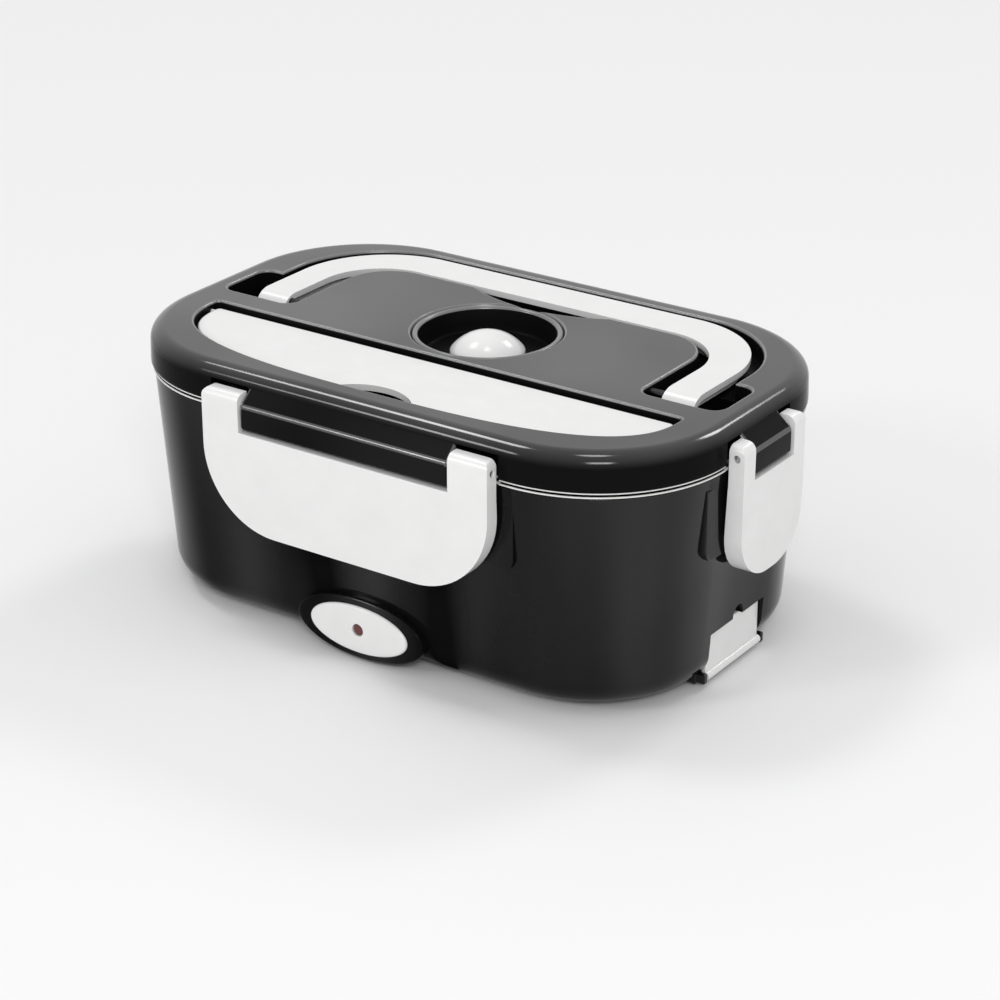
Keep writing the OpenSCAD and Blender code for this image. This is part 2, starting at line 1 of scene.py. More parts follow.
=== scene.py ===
import math
import bmesh
import bpy
from mathutils import Matrix, Vector


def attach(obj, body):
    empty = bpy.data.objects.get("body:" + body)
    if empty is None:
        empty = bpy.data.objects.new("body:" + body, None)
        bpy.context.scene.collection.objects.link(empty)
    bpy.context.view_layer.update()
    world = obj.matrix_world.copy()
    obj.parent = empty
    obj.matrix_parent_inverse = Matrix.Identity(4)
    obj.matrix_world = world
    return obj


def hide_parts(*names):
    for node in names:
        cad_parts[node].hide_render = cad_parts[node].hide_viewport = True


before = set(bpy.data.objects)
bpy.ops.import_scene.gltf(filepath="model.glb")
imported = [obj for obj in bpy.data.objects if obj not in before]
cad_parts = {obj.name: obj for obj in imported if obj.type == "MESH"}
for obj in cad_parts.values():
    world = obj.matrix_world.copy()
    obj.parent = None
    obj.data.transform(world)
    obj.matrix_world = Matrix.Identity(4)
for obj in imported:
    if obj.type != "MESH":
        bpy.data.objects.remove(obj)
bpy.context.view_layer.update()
scene = bpy.context.scene

# Camera: stands at the photograph's viewing angle, to the right of the front and above the lid, at
# the distance that gives the photograph's slight perspective.
eye = Vector((0.5164, -0.7370, 0.4409))
aim = Vector((0.20703, -0.28616, 0.19395))
camera = bpy.data.objects.new("camera", bpy.data.cameras.new("camera"))
camera.data.sensor_width = 36
camera.data.lens = 102.1
camera.data.clip_start = 0.05
camera.data.clip_end = 20
camera.location = eye
camera.rotation_euler = (aim - eye).to_track_quat("-Z", "Y").to_euler()
scene.collection.objects.link(camera)
scene.camera = camera


# Outer shell: one glossy black moulding, a rounded oblong that narrows towards its rounded foot, with
# an oval boss for the lamp plate at the front, a squared foot round the power inlet at the right, and
# a pad and a keeper rib behind each latch. Its rim has a step that carries the liner's flange.
MM = 0.001
LID_X, LID_Y, LID_R = 111.5, 70.0, 50.0

# Points on the wall are given as the inset from the lid's outline, and the height.
WALL_LOW, WALL_HIGH = (5.9, 12.5), (1.2, 79.4)
FOOT_R = 10.1
RIM_Z, STEP_Z, FLOOR_Z, UNDER_Z = 79.8, 77.0, 6.0, 2.4
COVER_SEAT_Z = 4.2
INLET_FACE_X = 102.4
LAMP_Z = 12.3
PAD_LOW, PAD_HIGH, PAD_R = 50.5, 75.8, 4
KEEPER_LOW, KEEPER_HIGH = 57.3, 59.9

# A latch's half width, half its lug and half its hook, the lid's side behind it, how far its face
# stands out from there, its corner radius and how much wider its pad is. Then the way each one faces.
LONG_LATCH = (57.5, 41.9, 30, LID_Y, 5.5, 29.0, 5)
SHORT_LATCH = (19.7, 12.2, 8, LID_X, 6.0, 17.5, 9)
LATCHES = (("front", LONG_LATCH, 0), ("back", LONG_LATCH, 180),
           ("right", SHORT_LATCH, 90), ("left", SHORT_LATCH, -90))


def cosine(degrees):
    return math.cos(math.radians(degrees))


def sine(degrees):
    return math.sin(math.radians(degrees))


def arc(cx, cy, r, a0, a1, steps):
    """Points along an arc between two angles in degrees."""
    angles = [a0 + (a1 - a0) * i / steps for i in range(steps + 1)]
    return [(cx + r * cosine(a), cy + r * sine(a)) for a in angles]


def rounded(half_x, half_y, radius, cx=0.0, cy=0.0, steps=20):
    """Outline of a rounded rectangle, in millimetres."""
    pts = []
    for q, (sx, sy) in enumerate(((1, 1), (-1, 1), (-1, -1), (1, -1))):
        pts += arc(cx + sx * (half_x - radius), cy + sy * (half_y - radius), radius,
                   90 * q, 90 * q + 90, steps)
    return pts


def lid_outline(inset, steps=28):
    return rounded(LID_X - inset, LID_Y - inset, LID_R - inset, steps=steps)


def oval(a, b, steps=96, cy=0.0):
    turns = [2 * math.pi * i / steps for i in range(steps)]
    return [(a * math.cos(t), cy + b * math.sin(t)) for t in turns]


def mirrored(pts):
    """The outline's other half, left for right, in the order that carries it on."""
    return [(-x, y) for x, y in reversed(pts)]


def ring(bm, pts, level, axis="Z"):
    """A closed loop of edges through an outline, at one level along an axis."""
    place = {"Z": lambda p: (p[0], p[1], level), "Y": lambda p: (p[0], level, p[1]),
             "X": lambda p: (level, p[0], p[1])}[axis]
    verts = [bm.verts.new([c * MM for c in place(p)]) for p in pts]
    return [bm.edges.new((verts[i], verts[(i + 1) % len(verts)])) for i in range(len(verts))]


def outward(bm):
    """Turns all faces outwards."""
    bmesh.ops.recalc_face_normals(bm, faces=bm.faces)
    if bm.calc_volume(signed=True) < 0:
        bmesh.ops.reverse_faces(bm, faces=bm.faces)


def band(bm, low, high):
    """A strip of faces between two loops of the same number of edges, each edge to its own partner."""
    for a, b in zip(low, high):
        bm.faces.new((a.verts[0], a.verts[1], b.verts[1], b.verts[0]))


def skin(bm, rings, closed=False):
    """Joins neighbouring loops with faces. The ends are capped unless the skin closes on itself."""
    for low, high in list(zip(rings, rings[1:])) + ([(rings[-1], rings[0])] if closed else []):
        band(bm, low, high)
    if not closed:
        for end in (rings[0], rings[-1]):
            bmesh.ops.contextual_create(bm, geom=end)
    outward(bm)
    return bm


def prism(pts, low, high, axis="Z"):
    """A straight solid with the outline's shape."""
    bm = bmesh.new()
    return skin(bm, [ring(bm, pts, low, axis), ring(bm, pts, high, axis)])


def block(x0, x1, y0, y1, z0, z1):
    return prism([(x0, y0), (x1, y0), (x1, y1), (x0, y1)], z0, z1)


def rod(axis, radius, low, high, p, q, steps=48):
    """A round bar along an axis, centred on p, q in the other two directions."""
    pts = [(p + x, q + y) for x, y in oval(radius, radius, steps)]
    return prism(pts, min(low, high), max(low, high), axis)


def gather(*parts):
    """All the parts in one bmesh."""
    bm = bmesh.new()
    for part in parts:
        mesh = bpy.data.meshes.new("part")
        part.to_mesh(mesh)
        part.free()
        bm.from_mesh(mesh)
        bpy.data.meshes.remove(mesh)
    return bm


def turned(bm, degrees):
    """The shape turned about the upright axis."""
    turn = Matrix.Rotation(math.radians(degrees), 3, "Z")
    bmesh.ops.rotate(bm, verts=bm.verts, cent=(0, 0, 0), matrix=turn)
    return bm


def moved(bm, x=0.0, y=0.0, z=0.0):
    bmesh.ops.translate(bm, verts=bm.verts, vec=(x * MM, y * MM, z * MM))
    return bm


def carved(bm, *cutters):
    """The solid with the cutters' shapes taken out of it. The cutters can be used again."""
    work = bpy.data.objects.new("work", bpy.data.meshes.new("work"))
    bm.to_mesh(work.data)
    bm.free()
    scene.collection.objects.link(work)
    tools = []
    for cutter in cutters:
        tool = bpy.data.objects.new("tool", bpy.data.meshes.new("tool"))
        cutter.to_mesh(tool.data)
        scene.collection.objects.link(tool)
        tools.append(tool)
        cut = work.modifiers.new("cut", "BOOLEAN")
        cut.operation = "DIFFERENCE"
        cut.solver = "EXACT"
        cut.object = tool
    done = bpy.data.meshes.new_from_object(work.evaluated_get(bpy.context.evaluated_depsgraph_get()))
    result = bmesh.new()
    result.from_mesh(done)
    for item in [work] + tools:
        bpy.data.meshes.remove(item.data)
    bpy.data.meshes.remove(done)
    bmesh.ops.remove_doubles(result, verts=result.verts, dist=1e-6)
    return result


def soften(bm, width, segments=3, angle=40, test=None, material=-1):
    """Rounds the sharp edges, or those of them that pass the test."""
    sharp = [e for e in bm.edges if len(e.link_faces) == 2 and e.calc_face_angle(0) > math.radians(angle)
             and (test is None or test(e))]
    bmesh.ops.bevel(bm, geom=sharp, offset=width * MM, offset_type="OFFSET", affect="EDGES",
                    segments=segments, profile=0.5, material=material, clamp_overlap=True)
    return bm


def finished(name, bm, body, material, node):
    """The bmesh as a named piece that rides on a body and stands for a CAD node."""
    crease = math.radians(38)
    mesh = bpy.data.meshes.new(name)
    bm.to_mesh(mesh)
    bm.free()
    mesh.materials.append(material)
    mesh.shade_smooth()
    mesh.set_sharp_from_angle(angle=crease)
    piece = bpy.data.objects.new(name, mesh)
    scene.collection.objects.link(piece)
    even = piece.modifiers.new("even", "WEIGHTED_NORMAL")
    even.keep_sharp = True
    even.weight = 80
    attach(piece, body)
    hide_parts(node)
    return piece


def dress(material, *nodes):
    """Gives the CAD nodes that stay in sight a better material."""
    for node in nodes:
        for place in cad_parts[node].material_slots:
            place.material = material


def added(owner, kind, **inputs):
    """A new shader node with some of its inputs set. An underscore stands for a space in a name."""
    node = owner.node_tree.nodes.new("ShaderNode" + kind)
    for name, value in inputs.items():
        node.inputs[name.replace("_", " ")].default_value = value
    return node


def stretched(owner, place, scale, rotation=(0, 0, 0)):
    """Coordinates drawn out or squeezed along each axis."""
    node = added(owner, "Mapping", Scale=scale, Rotation=rotation)
    owner.node_tree.links.new(place, node.inputs["Vector"])
    return node.outputs["Vector"]


def noise(owner, place, scale, detail):
    """Cloudy noise read at the given coordinates."""
    node = added(owner, "TexNoise", Scale=scale, Detail=detail)
    owner.node_tree.links.new(place, node.inputs["Vector"])
    return node.outputs["Fac"]


def ranged(owner, value, start, end, low, high, curve="LINEAR"):
    """A value between start and end, carried over to the range from low to high."""
    node = added(owner, "MapRange", From_Min=start, From_Max=end, To_Min=low, To_Max=high)
    node.interpolation_type = curve
    owner.node_tree.links.new(value, node.inputs["Value"])
    return node.outputs["Result"]


def reckoned(owner, operation, first, second):
    """Two values taken together by one step of arithmetic."""
    node = added(owner, "Math")
    node.operation = operation
    owner.node_tree.links.new(first, node.inputs[0])
    owner.node_tree.links.new(second, node.inputs[1])
    return node.outputs["Value"]


def tinted(owner, factor, first, second):
    """A colour that runs from the first to the second with the factor."""
    node = owner.node_tree.nodes.new("ShaderNodeMix")
    node.data_type = "RGBA"
    node.inputs["A"].default_value = (*first, 1)
    node.inputs["B"].default_value = (*second, 1)
    owner.node_tree.links.new(factor, node.inputs["Factor"])
    return node.outputs["Result"]


def bumped(owner, height, strength, distance):
    """The surface's direction, made uneven by a height."""
    node = added(owner, "Bump", Strength=strength, Distance=distance)
    owner.node_tree.links.new(height, node.inputs["Height"])
    return node.outputs["Normal"]


def plastic(name, colour, roughness, specular=(0.5, 0.5), grain=180, waviness=0.03, scuffs=0.06,
            cloud=(9, 9, 9), painted_shade_below=None):
    """Moulded plastic: a tint and gloss that vary a little, faint waves, hair-fine scuffs and cloudy sheen.
    The sheen can fade from one height down to a lower one, where only a part of it is left: painted shade
    that darkens the reflection on a piece's side."""
    mat = bpy.data.materials.new(name)
    mat.use_nodes = True
    link = mat.node_tree.links.new
    surface = mat.node_tree.nodes["Principled BSDF"].inputs
    where = added(mat, "TexCoord").outputs["Object"]
    haze = noise(mat, stretched(mat, where, cloud), 1.6, 1)
    sheen = ranged(mat, haze, 0.35, 0.65, *specular)
    # Painted shade: the sheen fades towards lower heights, darkening the reflection on the piece's side.
    if painted_shade_below:
        low, high, left = painted_shade_below
        parted = added(mat, "SeparateXYZ")
        link(where, parted.inputs["Vector"])
        fade = ranged(mat, parted.outputs["Z"], low * MM, high * MM, left, 1, "SMOOTHSTEP")
        sheen = reckoned(mat, "MULTIPLY", sheen, fade)
    mottle = noise(mat, where, grain, 4)
    darker = [c * 0.95 for c in colour]
    lighter = [min(1, c * 1.05 + 0.0005) for c in colour]
    hair = noise(mat, stretched(mat, where, (1, 22, 22), (0.3, 0.2, 0.5)), 60, 6)
    wave = noise(mat, where, 45, 2)
    link(sheen, surface["Specular IOR Level"])
    link(tinted(mat, mottle, darker, lighter), surface["Base Color"])
    link(ranged(mat, hair, 0.35, 0.75, roughness, roughness + scuffs), surface["Roughness"])
    link(bumped(mat, wave, waviness, 0.0008), surface["Normal"])
    return mat


JET = (0.005, 0.005, 0.0053)
body_black = plastic("body_black_plastic", JET, 0.09, specular=(0.0, 0.38), waviness=0.05, cloud=(16, 16, 2))

foot = [(WALL_LOW[0] + FOOT_R * (1 - sine(t)), WALL_LOW[1] - FOOT_R * cosine(t)) for t in range(0, 91, 9)]
wall = [[a + (b - a) * k / 4 for a, b in zip(WALL_LOW, WALL_HIGH)] for k in range(1, 5)]
rim = [(1.35, RIM_Z - 0.15), (1.7, RIM_Z), (2.8, RIM_Z), (2.8, STEP_Z)]
hollow = [(5.1, STEP_Z), (8.3, 14.0), (9.5, 9.0), (12.3, FLOOR_Z)]
opening = rounded(64, 30, 20, steps=28)
cover_seat = rounded(80, 42, 25, steps=28)
shell = bmesh.new()
loops = [ring(shell, lid_outline(inset), z) for inset, z in foot + wall + rim + hollow]
loops += [ring(shell, opening, z) for z in (FLOOR_Z, COVER_SEAT_Z)]
loops += [ring(shell, cover_seat, z) for z in (COVER_SEAT_Z, UNDER_Z)]
skin(shell, loops, closed=True)
inlet_hole = block(80.2, 112, -14, 14, 3.8, 18)
flap_room = block(INLET_FACE_X, 115, -17.35, 17.35, -1, 19.6)
thumb_notch = rod("X", 3.2, INLET_FACE_X - 1.2, 115, 0, 20.6)
lamp_hole = rod("Y", 4.0, -75, -50, 0, LAMP_Z)
shell = carved(shell, inlet_hole, flap_room, thumb_notch, lamp_hole)

# The lamp's boss: half width, half height and depth of each of its edges, from its face back.
boss_edge = ((24.4, 9.75, -67.6), (25.2, 10.5, -67.5), (25.8, 11.0, -67.1), (26.0, 11.2, -66.4),
             (26.0, 11.2, -60.5))
boss = bmesh.new()
skin(boss, [ring(boss, oval(a, b), y, "Y") for a, b, y in boss_edge])
boss = carved(moved(boss, z=LAMP_Z), lamp_hole)

# The inlet's squared foot with the ears of its flap, and the pads and keeper ribs behind the latches.
inlet_foot = soften(block(91, INLET_FACE_X, -20, 20, 1.2, 21), 0.8, 3)
inlet_foot = carved(inlet_foot, inlet_hole, thumb_notch)
flap_ears = [soften(block(100.4, 105.4, y - 1.05, y + 1.05, 1.9, 5.3), 0.4) for y in (-18.4, 18.4)]
pads = []
for name, (half, lug, hook, edge, out, corner, beside), way in LATCHES:
    wide = half + beside
    low = arc(wide - PAD_R, PAD_LOW + PAD_R, PAD_R, 270, 360, 6) + [(wide, PAD_HIGH)]
    pad = prism(low + mirrored(low), -edge + 1.6, -edge + 5, "Y")
    keeper = block(-hook, hook, -edge - 1.1, -edge + 4, KEEPER_LOW, KEEPER_HIGH)
    pads += [turned(soften(pad, 0.35, 2), way), turned(soften(keeper, 0.3, 2), way)]
for cutter in (inlet_hole, flap_room, thumb_notch, lamp_hole):
    cutter.free()
finished("outer_shell_gloss", gather(shell, boss, inlet_foot, *flap_ears, *pads), "base",
         body_black, "outer_shell")


# Inner liner: a pan drawn from stainless sheet and brushed, with a rounded corner round its floor. It
# hangs by its flange on the step of the shell's rim.
def brushed_steel(name, colour, roughness, along=(1, 30, 30), bump=0.05):
    """Sheet steel with fine brush lines, broad smears in its gloss and a slight unevenness."""
    mat = bpy.data.materials.new(name)
    mat.use_nodes = True
    link = mat.node_tree.links.new
    surface = mat.node_tree.nodes["Principled BSDF"].inputs
    surface["Metallic"].default_value = 1
    where = added(mat, "TexCoord").outputs["Object"]
    lines = noise(mat, stretched(mat, where, along), 90, 5)
    smear = noise(mat, where, 22, 3)
    link(tinted(mat, lines, [c * 0.9 for c in colour], colour), surface["Base Color"])
    link(ranged(mat, smear, 0, 1, roughness * 0.7, roughness * 1.35), surface["Roughness"])
    link(bumped(mat, lines, bump, 0.0003), surface["Normal"])
    return mat


def pan(lip, lip_z, sheet, wall_inset, floor_z, corner):
    """A drawn sheet pan: a flange, a rounded lip, an upright wall, a rounded corner and a flat floor.
    The lip and the wall are insets from the lid's outline."""
    arcs = range(0, 91, 15)
    top = lip_z + sheet
    bend = [(wall_inset + corner * (1 - cosine(t)), floor_z + sheet + corner * (1 - sine(t))) for t in arcs]
    under_bend = [(inset - sheet * cosine(t), z - sheet * sine(t)) for (inset, z), t in zip(bend, arcs)]
    inside = [(lip, lip_z), (lip, top), (wall_inset - 1.0, top), (wall_inset - 0.3, top - 0.3),
              (wall_inset, top - 1.0)] + bend
    outside = under_bend[::-1] + [(wall_inset - sheet, lip_z - 0.9), (wall_inset - sheet - 0.6, lip_z)]
    bm = bmesh.new()
    loops = [ring(bm, lid_outline(inset, 18), z) for inset, z in inside + outside]
    middle = len(inside)
    for k in list(range(middle - 1)) + list(range(middle, len(loops) - 1)):
        band(bm, loops[k], loops[k + 1])
    band(bm, loops[-1], loops[0])
    bmesh.ops.contextual_create(bm, geom=loops[middle - 1])
    bmesh.ops.contextual_create(bm, geom=loops[middle])
    outward(bm)
    return bm


liner_steel = brushed_steel("liner_steel", (0.62, 0.63, 0.64), 0.3)
liner = pan(lip=3.0, lip_z=STEP_Z + 0.02, sheet=1.2, wall_inset=10.0, floor_z=22.82, corner=6.0)
finished("inner_liner_pan", liner, "base", liner_steel, "inner_liner")

# Heater: a cast plate under the liner with a ceramic heating stone clamped to it by a pressed bar, a
# round thermostat and a thermal fuse, joined to the inlet by two silicone-covered red leads.
cast_aluminium = brushed_steel("cast_aluminium", (0.55, 0.56, 0.57), 0.5, (6, 6, 6), 0.15)
pressed_steel = brushed_steel("pressed_steel", (0.5, 0.5, 0.51), 0.35, (1, 20, 20))
heater_ceramic = plastic("heater_ceramic", (0.62, 0.6, 0.55), 0.6, grain=400, waviness=0.2)
thermostat_resin = plastic("thermostat_resin", (0.03, 0.028, 0.027), 0.4, grain=300, waviness=0.1)
lead_silicone = plastic("lead_silicone", (0.5, 0.03, 0.02), 0.45, grain=500, waviness=0.1)
dress(cast_aluminium, "heater_plate")
dress(heater_ceramic, "ptc_heater", "thermal_fuse")
dress(pressed_steel, "clamp_bar")
dress(thermostat_resin, "thermostat")
dress(lead_silicone, "heater_leads")


# Bottom: a slotted cover moulded in satin black plastic and held in the shell's foot by four steel
# screws, and four soft rubber feet with rounded edges, fixed under the shell beside it.
def round_solid(profile, steps, cy=0.0):
    """An upright round solid with a radius at each height."""
    bm = bmesh.new()
    return skin(bm, [ring(bm, oval(r, r, steps, cy), z) for r, z in profile])


satin_black = plastic("satin_black_plastic", (0.012, 0.012, 0.0125), 0.38, grain=500, waviness=0.15,
                      scuffs=0.1)
foot_rubber = plastic("foot_rubber", (0.018, 0.018, 0.018), 0.7, grain=700, waviness=0.3, scuffs=0.15)
screw_steel = brushed_steel("screw_steel", (0.5, 0.5, 0.52), 0.3, (8, 8, 8))
dress(satin_black, "bottom_cover")
dress(screw_steel, "bottom_screws")

# A foot's radius and height from its sole up.
foot_profile = ((4.2, 0.0), (4.8, 0.15), (5.1, 0.5), (5.2, 1.0), (5.2, 2.38))
feet = [moved(round_solid(foot_profile, 48), x, y) for x in (-58, 58) for y in (-47.5, 47.5)]
finished("feet_rubber", gather(*feet), "base", foot_rubber, "feet")

# Lamp: a glossy white oval plate let into the front boss, with a small red lens pushed in at its
# middle and the green lamp board fixed behind it.
gloss_white = plastic("gloss_white_plastic", (0.84, 0.84, 0.835), 0.16, grain=90, waviness=0.03, scuffs=0.1)

# The plate's inset from its full oval and its depth, from its face back.
PLATE_HALF_WIDTH, PLATE_HALF_HEIGHT = 20.0, 8.6
plate_edge = ((1.0, -68.4), (0.5, -68.3), (0.15, -68.05), (0.0, -67.6), (0.0, -66.42))
plate = bmesh.new()
skin(plate, [ring(plate, oval(PLATE_HALF_WIDTH - inset, PLATE_HALF_HEIGHT - inset), y, "Y")
             for inset, y in plate_edge])
lens_hole = rod("Y", 2.25, -70, -60, 0, 0)
plate = moved(carved(plate, lens_hole), z=LAMP_Z)
lens_hole.free()
finished("indicator_plate_oval", plate, "base", gloss_white, "indicator_plate")
lens_red = plastic("lens_red", (0.12, 0.03, 0.028), 0.1, grain=200)
board_green = plastic("board_green", (0.02, 0.12, 0.05), 0.45, grain=300)
dress(lens_red, "indicator_lens")
dress(board_green, "lamp_board")

# Power inlet: a dark socket with two steel pins, covered by a white dust flap that swings down on a
# steel pin between two small ears.
FLAP_HALF, FLAP_TOP, FLAP_R = 17, 19.2, 2
FLAP_PIN_X, FLAP_PIN_Z = 104.2, 3.6
pin_steel = brushed_steel("pin_steel", (0.6, 0.6, 0.61), 0.22, (8, 8, 8))
dress(satin_black, "inlet_housing")
dress(pin_steel, "inlet_pins", "flap_pin")
flap_side = [(FLAP_HALF, FLAP_PIN_Z)] + arc(FLAP_HALF - FLAP_R, FLAP_TOP - FLAP_R, FLAP_R, 0, 90, 6)
flap_plate = soften(prism(flap_side + mirrored(flap_side), 102.7, 104.3, "X"), 0.4, 3)
flap_barrel = rod("Y", 1.5, -FLAP_HALF, FLAP_HALF, FLAP_PIN_X, FLAP_PIN_Z, 32)
flap_bore = rod("Y", 0.86, -FLAP_HALF - 1, FLAP_HALF + 1, FLAP_PIN_X, FLAP_PIN_Z, 24)
flap = gather(carved(flap_plate, flap_bore), carved(flap_barrel, flap_bore))
flap_bore.free()
finished("socket_flap_plate", flap, "flap", gloss_white, "socket_flap")

# Food tray and small box: a drawn stainless tray that hangs in the liner, and in it a milky lidded
# box for a side dish. The tray, the box and its lid lift out by hand.
tray_steel = brushed_steel("tray_steel", (0.66, 0.665, 0.67), 0.2, (1, 26, 26), 0.03)
tray = pan(lip=5.5, lip_z=78.9, sheet=0.8, wall_inset=11.4, floor_z=24.32, corner=7.0)
finished("food_tray_pan", tray, "tray", tray_steel, "food_tray")
milky = plastic("milky_plastic", (0.7, 0.71, 0.71), 0.3, grain=200, waviness=0.04)
dress(milky, "small_box", "small_box_lid")


# Lid: a glossy black moulding with a soft shoulder. The handle's groove, the spoon recess and the round
# vent well are sunk into its flat top, and four lugs on its sides carry the latches on steel pins.
LID_TOP, LID_LOW, SHOULDER_Z = 95.0, 82.1, 90.2
GROOVE_Z, RECESS_Z = 88.3, 90.6
POCKET_LOW, POCKET_HIGH = 85.1, 88.9
WELL_Y = 8
STEM_HOLE_R = 4.15
LATCH_PIN_Z, LATCH_PIN_DEPTH = 85.0, 2.9
LUG_LOW, LUG_NOSE, LUG_TOP, LUG_ROOT = 77.0, 85.4, 92.4, 82.4

# The lid's materials in their order after the glossy black of the rest: a darker copy painted as shade
# and two lighter copies painted as highlights.
PAINTED_SHADE, PAINTED_EDGE_HIGHLIGHT, PAINTED_LIP_HIGHLIGHT = 1, 2, 3


def grown(pts, d):
    """The outline moved outwards by d."""
    area = sum(a[0] * b[1] - b[0] * a[1] for a, b in zip(pts, pts[1:] + pts[:1]))
    d = math.copysign(1, area) * d
    out = []
    for i, p in enumerate(pts):
        ahead = pts[(i + 1) % len(pts)]
        u = Vector((p[0] - pts[i - 1][0], p[1] - pts[i - 1][1])).normalized()
        v = Vector((ahead[0] - p[0], ahead[1] - p[1])).normalized()
        m = Vector((u.y + v.y, -u.x - v.x)).normalized()
        k = d / max(0.5, m.x * u.y - m.y * u.x)
        out.append((p[0] + m.x * k, p[1] + m.y * k))
    return out


def dee(a, b, y0):
    """Straight at the back and rounded along the front, with small round corners."""
    steps, fullness, corner_r = 72, 0.714, 1.8
    pts = []
    for i in range(1, steps):
        c, s = math.cos(math.pi * (1 + i / steps)), math.sin(math.pi * (1 + i / steps))
        pts.append((a * math.copysign(abs(c) ** fullness, c), y0 - b * abs(s) ** fullness))
    pts = [p for p in pts if p[1] < y0 - 2.2]
    corner = arc(pts[-1][0] - corner_r, y0 - corner_r, corner_r, 10, 90, 6)
    return pts + corner + mirrored(corner)


def sunk(outline, floor_z, lip):
    """A cutter for a sunk place in the lid's top whose rim is rounded over by the lip's radius."""
    flare = [(0.0, floor_z)]
    flare += [(lip * (1 - cosine(t)), LID_TOP - lip * (1 - sine(t))) for t in range(0, 91, 15)]
    flare += [(lip, LID_TOP + 2)]
    bm = bmesh.new()
    return skin(bm, [ring(bm, grown(outline, d), z) for d, z in flare])


# The groove's outline: the room of a leg and the outer curve on each side, then the edge of the raised
# deck that the handle lies round, with a scoop for the fingers in its middle.
pocket_side = arc(97.1, -5, 5, 270, 360, 6) + arc(97.1, 9.4, 5, 0, 90, 6)
groove_side = [(94, 14.4)] + arc(56, 23, 38, 0, 90, 28)
deck_side = arc(53.5, 23.5, 18, 90, 0, 16) + [(71.5, 14.4)] + arc(76.5, -5, 5, 180, 270, 6)
scoop = arc(0, 92.0, 57.9, 240.7, 299.3, 28)
groove = pocket_side + groove_side + mirrored(groove_side) + mirrored(pocket_side)
groove += mirrored(deck_side) + scoop + deck_side

# Inset and height up the lid's side and over its shoulder.
side = [(1.0, LID_LOW), (0.3, 82.25), (0.04, 82.7), (0.0, 83.4), (0.1, 87.0)]
shoulder_rise = LID_TOP - SHOULDER_Z
side += [(0.2 + 5.6 * (1 - cosine(t)), SHOULDER_Z + shoulder_rise * sine(t)) for t in range(0, 91, 9)]
lid = bmesh.new()
skin(lid, [ring(lid, lid_outline(inset), z) for inset, z in side])

# The cutters: the groove, the spoon recess, the well with its beaded rim, the trough for the spoon, the
# finger pockets, the hole for the plug's stem and two reliefs for the spoon cover's hinge corners.
well_wall = [(21.8, 86.0), (22.6, 86.3), (23.0, 87.0), (23.2, 89.0), (23.5, 91.5), (23.7, 93.2),
             (23.85, 94.0), (24.1, 94.45), (24.55, 94.75), (25.05, 94.85), (25.5, 94.7), (25.75, 94.35),
             (25.9, 94.0), (26.1, 93.88), (26.3, 94.0), (26.45, 94.45), (26.7, 94.85), (27.1, LID_TOP),
             (27.1, LID_TOP + 2)]
trough_wall = ((88.0, 29.8, -22.6, 84.0), (89.0, 30.8, -21.8, 85.2), (89.0, 30.8, -21.8, 90.2),
               (89.5, 31.3, -21.4, 90.7))
trough = bmesh.new()
skin(trough, [ring(trough, dee(a, b, y0), z) for a, b, y0, z in trough_wall])
holes = [sunk(groove, GROOVE_Z, 0.9), sunk(dee(95.3, 38.5, -20.5), RECESS_Z, 0.8),
         round_solid(well_wall, 96, WELL_Y), trough]
holes += [prism(rounded(15.3, 12.2, 5, x, 2.2, 8), POCKET_LOW, POCKET_HIGH) for x in (-86.8, 86.8)]
holes += [rod("Z", STEM_HOLE_R, 75, 90, 0, WELL_Y)]
holes += [block(x, x + 6.6, -27.2, -21.6, 89.5, 91.2) for x in (-94.6, 88.0)]

# A lug for each latch hangs from the lid's side, with a round room beside each end where an ear turns.
turn_rooms, lugs = [], []
for name, (half, lug, hook, edge, out, corner, beside), way in LATCHES:
    face = -edge - out
    for s in (-1, 1):
        room = rod("X", 6.2, s * lug, s * (half + 0.4), face + LATCH_PIN_DEPTH, LATCH_PIN_Z)
        turn_rooms.append(turned(room, way))
    bar_side = [(face + 0.6, LUG_LOW), (face + 0.6, LUG_NOSE), (-edge + 2.5, LUG_TOP), (-edge + 6, LUG_TOP),
                (-edge + 6, LUG_ROOT), (-edge + 0.2, LUG_ROOT), (-edge + 0.2, LUG_LOW)]
    bar = prism(bar_side, -lug, lug, "X")
    # Painted shade: the whole lug gets the darker copy of the black, and its rounded edges a lighter copy as
    # painted highlight.
    for bar_face in bar.faces:
        bar_face.material_index = PAINTED_SHADE
    lugs.append(turned(soften(bar, 1.1, 5, angle=30, material=PAINTED_EDGE_HIGHLIGHT), way))
lid = carved(lid, *holes, *turn_rooms)
# The sheen fades below the top as painted shade on the lid's shoulder and sides.
lid_black = plastic("lid_black_plastic", JET, 0.1, specular=(0.6, 1.0), waviness=0.05, scuffs=0.05,
                    painted_shade_below=(89.8, 95.1, 0.04))
lid_piece = finished("lid_shell_gloss", gather(lid, *lugs), "lid", lid_black, "lid_shell")

# Sunk places and the lugs get a darker, duller copy of the black as painted shade, also on the lugs' lower
# edges.
# The lugs' upper edges and the lips of the sunk places get lighter copies as painted highlights.
# All sunk places lie in the flat of the top, which ends 6.5 mm inside the lid's outline.
# A darker, duller copy of the black: painted shade.
sunk_painted_shade = plastic("sunk_painted_shade_plastic", (0.004, 0.004, 0.0042), 0.32, specular=(0.04, 0.12),
                     waviness=0.1)
# A lighter, glossier copy of the black: painted highlight on the lugs' upper edges.
edge_painted_highlight = plastic("edge_painted_highlight_plastic", (0.03, 0.03, 0.0305), 0.16, specular=(0.8, 1.0),
                        waviness=0.02)
